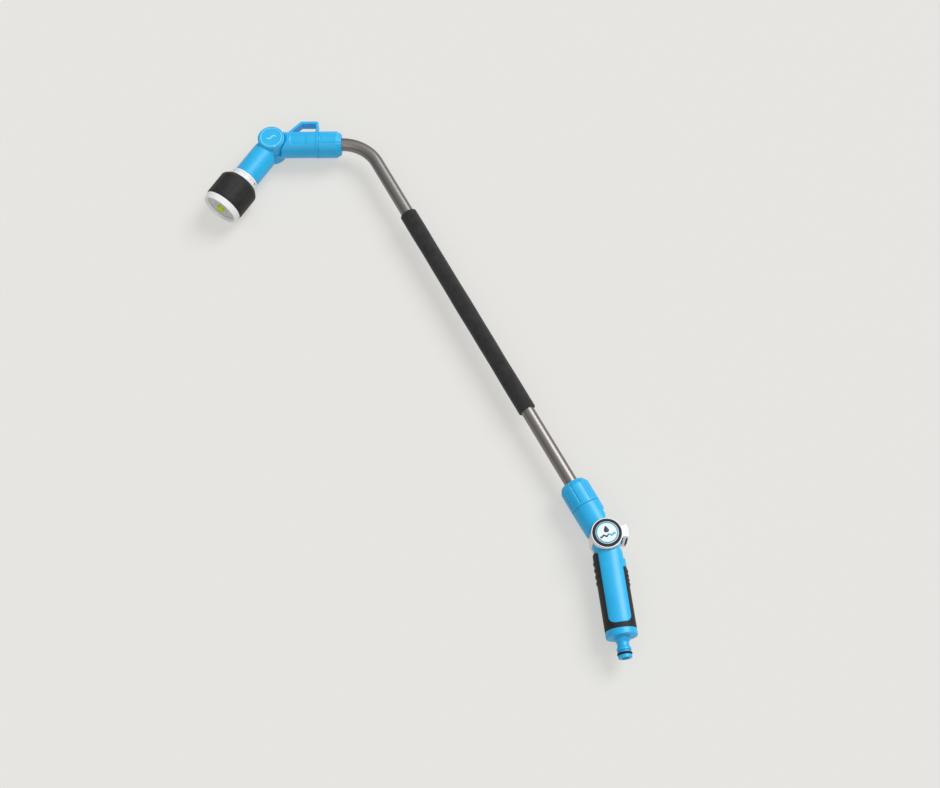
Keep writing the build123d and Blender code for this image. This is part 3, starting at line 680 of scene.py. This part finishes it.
# ------------------------------------------------------------------ index collar
neck_end, collar_end = 54.6, 63.4
collar_outline = rounded([
    (12.6, neck_end, 0.1),
    (16.5, neck_end, 0.4),
    (17.6, neck_end + 1.5, 0.5),
    (17.6, neck_end + 2.5, 0.3),
    (17.2, neck_end + 2.9, 0.2),
    (17.2, collar_end - 2.2, 0.2),
    (17.6, collar_end - 1.8, 0.3),
    (17.5, collar_end, 0.4),
    (12.6, collar_end, 0.1),
])
add_piece("white_collar", turned(neck_axis, divided(collar_outline, 0.5), 200), white, "index_collar")


def wrapped_tick(turn, outline, name, material=ink):
    """A small mark on the collar, turned in degrees from straight up."""
    place = neck_axis @ Matrix.Rotation(radians(turn), 4, "Z")
    mesh = inlay(place, outline, -0.1, 0.06, wrap=17.2)
    return add_piece(name, mesh, material, body="neck", slot="white_plastic")


arrow_outline = [(-1.5, 56.9), (1.5, 56.9), (0, 60.6)]
tick_outline = [(-0.35, 56.9), (0.35, 56.9), (0.35, 60.9), (-0.35, 60.9)]
wrapped_tick(-72, arrow_outline, "collar_arrow")
wrapped_tick(52, tick_outline, "collar_index")
for i, turn in enumerate((-44, -12, 20)):
    wrapped_tick(turn, tick_outline, f"collar_tick_{i + 1}", grey)

# ------------------------------------------------------------------ spray dial
bezel_start, bezel_end = 101.4, 109.2
plate_face = 105.8
dial_radius = 25.5
grip_outline = rounded([
    (18.8, 64.4, 0.2),
    (20.6, 64.2, 0.8),
    (dial_radius, 69.6, 4.0),
    (dial_radius, 98.0, 6.0),
    (24.9, bezel_start, 0.5),
    (22.6, bezel_start, 0.1),
    (22.6, 68.0, 0.2),
])
flutes = outer_only(grooves(12, 2.0, 0.35, 73.5, 97.5, 2.0, pi / 12), 23.5)
add_piece("dial_sleeve", turned(neck_axis, divided(grip_outline, 0.7), 448, flutes), rubber, "dial_grip")

bezel_outline = rounded([
    (21.25, bezel_start + 0.05, 0.1),
    (24.8, bezel_start + 0.05, 0.5),
    (23.0, bezel_end, 0.9),
    (21.7, bezel_end, 0.5),
    (19.4, plate_face + 0.05, 0.3),
    (21.0, plate_face + 0.05, 0.1),
    (21.25, plate_face - 0.4, 0.1),
])
add_piece("white_bezel", turned(neck_axis, divided(bezel_outline, 0.5), 240), white, "dial_bezel")


# ------------------------------------------------------------------ softened mouldings
mouldings = {
    "handle_shell": ("handle_core", 0.65, 4),
    "handle_rubber": ("grip_overmould", 0.42, 3),
    "head_shell": ("head_body", 0.52, 3),
    "neck_shell": ("neck", 0.45, 2),
    "valve_lever": ("lever_saddle", 0.35, 4),
    "thumb_rest": ("thumb_pad", 0.25, 3),
    "valve_trim": ("valve_band", 0.3, 3),
}
for name, (node, voxel, passes) in mouldings.items():
    add_piece(name, softened(node, voxel, passes), slot_materials[slot_of[node]], node)


# ------------------------------------------------------------------ floor and light
def add_floor():
    bpy.ops.mesh.primitive_plane_add(size=14, location=(target.x, target.y, 0))
    floor = bpy.context.object
    floor.name = "floor"
    # The floor gives off some of its own brightness, so that the shadow on it stays faint.
    material, tree, shader = new_material("pale_floor")
    shader.inputs["Base Color"].default_value = (0.26, 0.257, 0.247, 1)
    shader.inputs["Emission Color"].default_value = (1.0, 0.99, 0.952, 1)
    shader.inputs["Emission Strength"].default_value = 0.49
    shader.inputs["Roughness"].default_value = 0.9
    shader.inputs["Specular IOR Level"].default_value = 0.1
    floor.data.materials.append(material)


def add_lamp(name, heading, elevation, breadth, strength):
    """Even light from a far, broad panel, which looks breadth degrees wide from the wand."""
    data = bpy.data.lights.new(name, "SUN")
    data.angle = radians(breadth)
    data.energy = strength
    lamp = bpy.data.objects.new(name, data)
    flat = Vector((cos(radians(heading)), sin(radians(heading)), 0))
    inward = -(flat * cos(radians(elevation)) + up * sin(radians(elevation)))
    lamp.rotation_euler = inward.to_track_quat("-Z", "Y").to_euler()
    bpy.context.scene.collection.objects.link(lamp)


def add_sky(zenith, horizon):
    """Studio surround that is brighter overhead than at the sides."""
    world = bpy.data.worlds.new("studio")
    world.use_nodes = True
    tree = world.node_tree
    place = tree.nodes.new("ShaderNodeTexCoord").outputs["Generated"]
    split = tree.nodes.new("ShaderNodeSeparateXYZ")
    tree.links.new(place, split.inputs["Vector"])
    background = tree.nodes["Background"]
    tree.links.new(remap(tree, split.outputs["Z"], horizon, zenith), background.inputs["Strength"])
    background.inputs["Color"].default_value = (1, 1, 1, 1)
    bpy.context.scene.world = world


def add_light():
    add_lamp("key", -80, 50, 34, 2.35)
    add_lamp("fill", 150, 45, 60, 0.6)
    add_sky(0.62, 0.12)
    bpy.context.scene.view_settings.view_transform = "Standard"


add_floor()
add_light()
